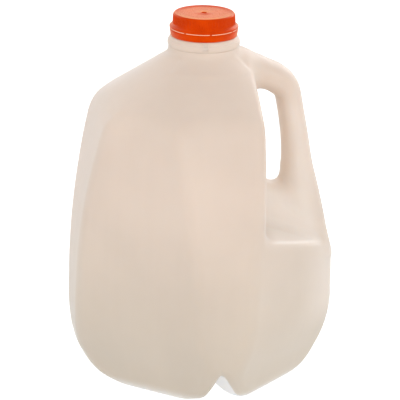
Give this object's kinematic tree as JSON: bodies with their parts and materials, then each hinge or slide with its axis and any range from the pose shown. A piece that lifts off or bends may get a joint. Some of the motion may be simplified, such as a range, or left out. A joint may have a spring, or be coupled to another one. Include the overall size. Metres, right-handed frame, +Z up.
{
  "type": "plastic juice bottle",
  "caption": "Thin-walled translucent plastic juice bottle: a gallon jug with a hollow side handle, soft square body, notched base corners and a ribbed orange screw cap.",
  "frame": {"origin": "on the neck's axis, in the plane that the base stands on", "axes": "+Z up along the neck's axis, +X towards the handle, the mould's parting plane is y = 0"},
  "size_m": [0.1766, 0.1766, 0.254],
  "materials": {
    "natural_plastic": "unpigmented blow-moulded plastic, translucent, soft satin",
    "orange_plastic": "injection-moulded, satin gloss, fine vertical ribs"
  },
  "bodies": {
    "root": {"jug": "natural_plastic", "cap": "orange_plastic"}
  },
  "joints": []
}
